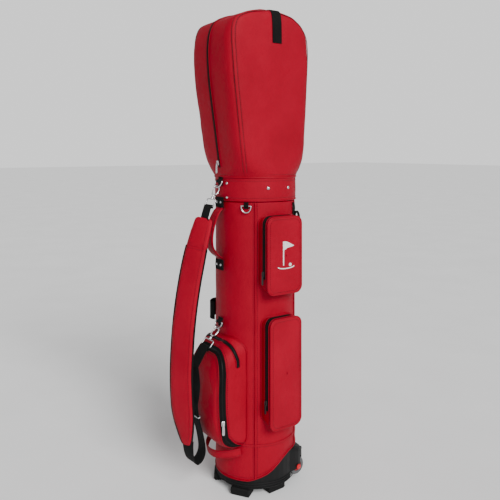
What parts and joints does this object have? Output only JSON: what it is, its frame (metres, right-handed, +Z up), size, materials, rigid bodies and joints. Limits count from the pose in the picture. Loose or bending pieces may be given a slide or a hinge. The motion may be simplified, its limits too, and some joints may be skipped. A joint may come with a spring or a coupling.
{
  "type": "wheeled golf travel bag",
  "caption": "Round golf bag on feet and two wheels, with a zipped rain hood, stiff side pockets, a front ball pocket and a clip-on padded shoulder strap.",
  "frame": {"origin": "on the floor, under the middle of the whole bag; the axis of the tube is 62 mm behind it", "axes": "+Z up, -Y is the front with the strap, handle and ball pocket, the wheels are at +Y, +X is the side with two box pockets"},
  "size_m": [0.2845, 0.358, 1.2443],
  "materials": {
    "red_leather": "fine pebbled red synthetic leather, semi-gloss",
    "black_plastic": "moulded, fine texture",
    "webbing": "woven nylon webbing",
    "zip_tape": "coated zip tape with coil",
    "steel": "polished nickel plate",
    "black_metal": "black enamelled zip slider",
    "tyre": "grey moulded tyre",
    "foot_rubber": "ribbed black rubber",
    "red_plastic": "glossy red hub cap",
    "lining": "smooth woven lining"
  },
  "bodies": {
    "bag": {"apparel_pocket": "red_leather", "apparel_pocket_zip": "zip_tape", "axle_cap_left": "red_plastic", "axle_cap_right": "red_plastic", "ball_pocket": "red_leather", "ball_pocket_zip": "zip_tape", "base_tub": "black_plastic", "body_liner": "lining", "body_skin": "red_leather", "carry_handle": "red_leather", "club_divider": "lining", "collar": "red_leather", "d_ring_low": "steel", "d_ring_top": "steel", "foot_front_left": "foot_rubber", "foot_front_right": "foot_rubber", "foot_side_left": "foot_rubber", "foot_side_right": "foot_rubber", "handle_tab_bottom": "webbing", "handle_tab_top": "webbing", "lower_pocket": "red_leather", "lower_pocket_zip": "zip_tape", "ring_tab_low": "webbing", "ring_tab_top": "webbing", "side_loop": "webbing", "snap_back": "steel", "snap_front": "steel", "tee_pocket_zip": "zip_tape", "top_rim": "black_plastic", "towel_ring_tab": "webbing", "umbrella_foot_loop": "red_leather", "umbrella_strap": "webbing", "upper_pocket": "red_leather", "upper_pocket_zip": "zip_tape", "wheel_axle": "steel"},
    "hood": {"hood_shell": "red_leather", "hood_zip": "zip_tape", "hood_top_strap": "webbing"},
    "hood_slider": {"hood_zip_slider": "steel"},
    "hood_pull": {"hood_zip_pull": "steel"},
    "upper_slider": {"upper_pocket_slider": "black_metal"},
    "lower_slider": {"lower_pocket_slider": "black_metal"},
    "apparel_slider": {"apparel_pocket_slider": "black_metal"},
    "ball_slider": {"ball_pocket_slider": "steel"},
    "ball_pull": {"ball_pocket_pull": "steel"},
    "wheel_left": {"tyre_left": "tyre", "hub_left": "red_plastic"},
    "wheel_right": {"tyre_right": "tyre", "hub_right": "red_plastic"},
    "towel_ring": {"towel_ring": "steel"},
    "strap": {"shoulder_pad": "red_leather", "strap_webbing_low": "webbing", "strap_webbing_top": "webbing", "swivel_eye_low": "steel", "swivel_eye_top": "steel"},
    "adjuster": {"strap_adjuster": "steel"},
    "hook_top": {"snap_hook_top": "steel"},
    "hook_low": {"snap_hook_low": "steel"},
    "gate_top": {"snap_gate_top": "steel"},
    "gate_low": {"snap_gate_low": "steel"}
  },
  "joints": [
    {"name": "hood_lift", "type": "slide", "parent": "bag", "child": "hood", "axis": [0, 0, 1], "range_m": [0, 0.45]},
    {"name": "hood_zip_run", "type": "slide", "parent": "hood", "child": "hood_slider", "axis": [0, -0.1483, 0.9889], "range_m": [0, 0.18]},
    {"name": "hood_pull_swing", "type": "hinge", "parent": "hood_slider", "child": "hood_pull", "pos_m": [0, -0.06028, 0.84509], "axis": [-1, 0, 0], "range_deg": [-6, 150]},
    {"name": "upper_zip_run", "type": "slide", "parent": "bag", "child": "upper_slider", "axis": [0, 0, 1], "range_m": [0, 0.1]},
    {"name": "lower_zip_run", "type": "slide", "parent": "bag", "child": "lower_slider", "axis": [0, 0, 1], "range_m": [0, 0.17]},
    {"name": "apparel_zip_run", "type": "slide", "parent": "bag", "child": "apparel_slider", "axis": [0, 0, 1], "range_m": [0, 0.37]},
    {"name": "ball_zip_run", "type": "slide", "parent": "bag", "child": "ball_slider", "axis": [0, 0, 1], "range_m": [0, 0.07]},
    {"name": "ball_pull_swing", "type": "hinge", "parent": "ball_slider", "child": "ball_pull", "pos_m": [0.08085, -0.0897, 0.20502], "axis": [-0.3134, -0.9496, 0], "range_deg": [-4, 150]},
    {"name": "wheel_left_roll", "type": "hinge", "parent": "bag", "child": "wheel_left", "pos_m": [-0.08, 0.135, 0.042], "axis": [1, 0, 0], "continuous": true},
    {"name": "wheel_right_roll", "type": "hinge", "parent": "bag", "child": "wheel_right", "pos_m": [0.08, 0.135, 0.042], "axis": [1, 0, 0], "continuous": true},
    {"name": "towel_ring_swing", "type": "hinge", "parent": "bag", "child": "towel_ring", "pos_m": [0.07638, -0.01991, 0.7385], "axis": [-0.7314, -0.682, 0], "range_deg": [-6, 120]},
    {"name": "strap_swing", "type": "hinge", "parent": "bag", "child": "strap", "pos_m": [0, -0.059, 0.6], "axis": [0, 0, 1], "range_deg": [-20, 20], "stiffness_Nm_per_rad": 0.4},
    {"name": "adjuster_slide", "type": "slide", "parent": "strap", "child": "adjuster", "axis": [0, -0.166, 0.9861], "range_m": [-0.015, 0.02]},
    {"name": "hook_top_swivel", "type": "hinge", "parent": "strap", "child": "hook_top", "pos_m": [0, -0.07308, 0.75651], "axis": [0, -0.4695, -0.8829], "range_deg": [-25, 25]},
    {"name": "hook_low_swivel", "type": "hinge", "parent": "strap", "child": "hook_low", "pos_m": [0, -0.07868, 0.39536], "axis": [0, -0.6561, -0.7547], "range_deg": [-25, 25]},
    {"name": "gate_top_press", "type": "hinge", "parent": "hook_top", "child": "gate_top", "pos_m": [0, -0.07368, 0.76646], "axis": [1, 0, 0], "range_deg": [0, 20], "stiffness_Nm_per_rad": 0.02, "springref_deg": -11.46},
    {"name": "gate_low_press", "type": "hinge", "parent": "hook_low", "child": "gate_low", "pos_m": [0, -0.07703, 0.40519], "axis": [1, 0, 0], "range_deg": [0, 20], "stiffness_Nm_per_rad": 0.02, "springref_deg": -11.46}
  ]
}
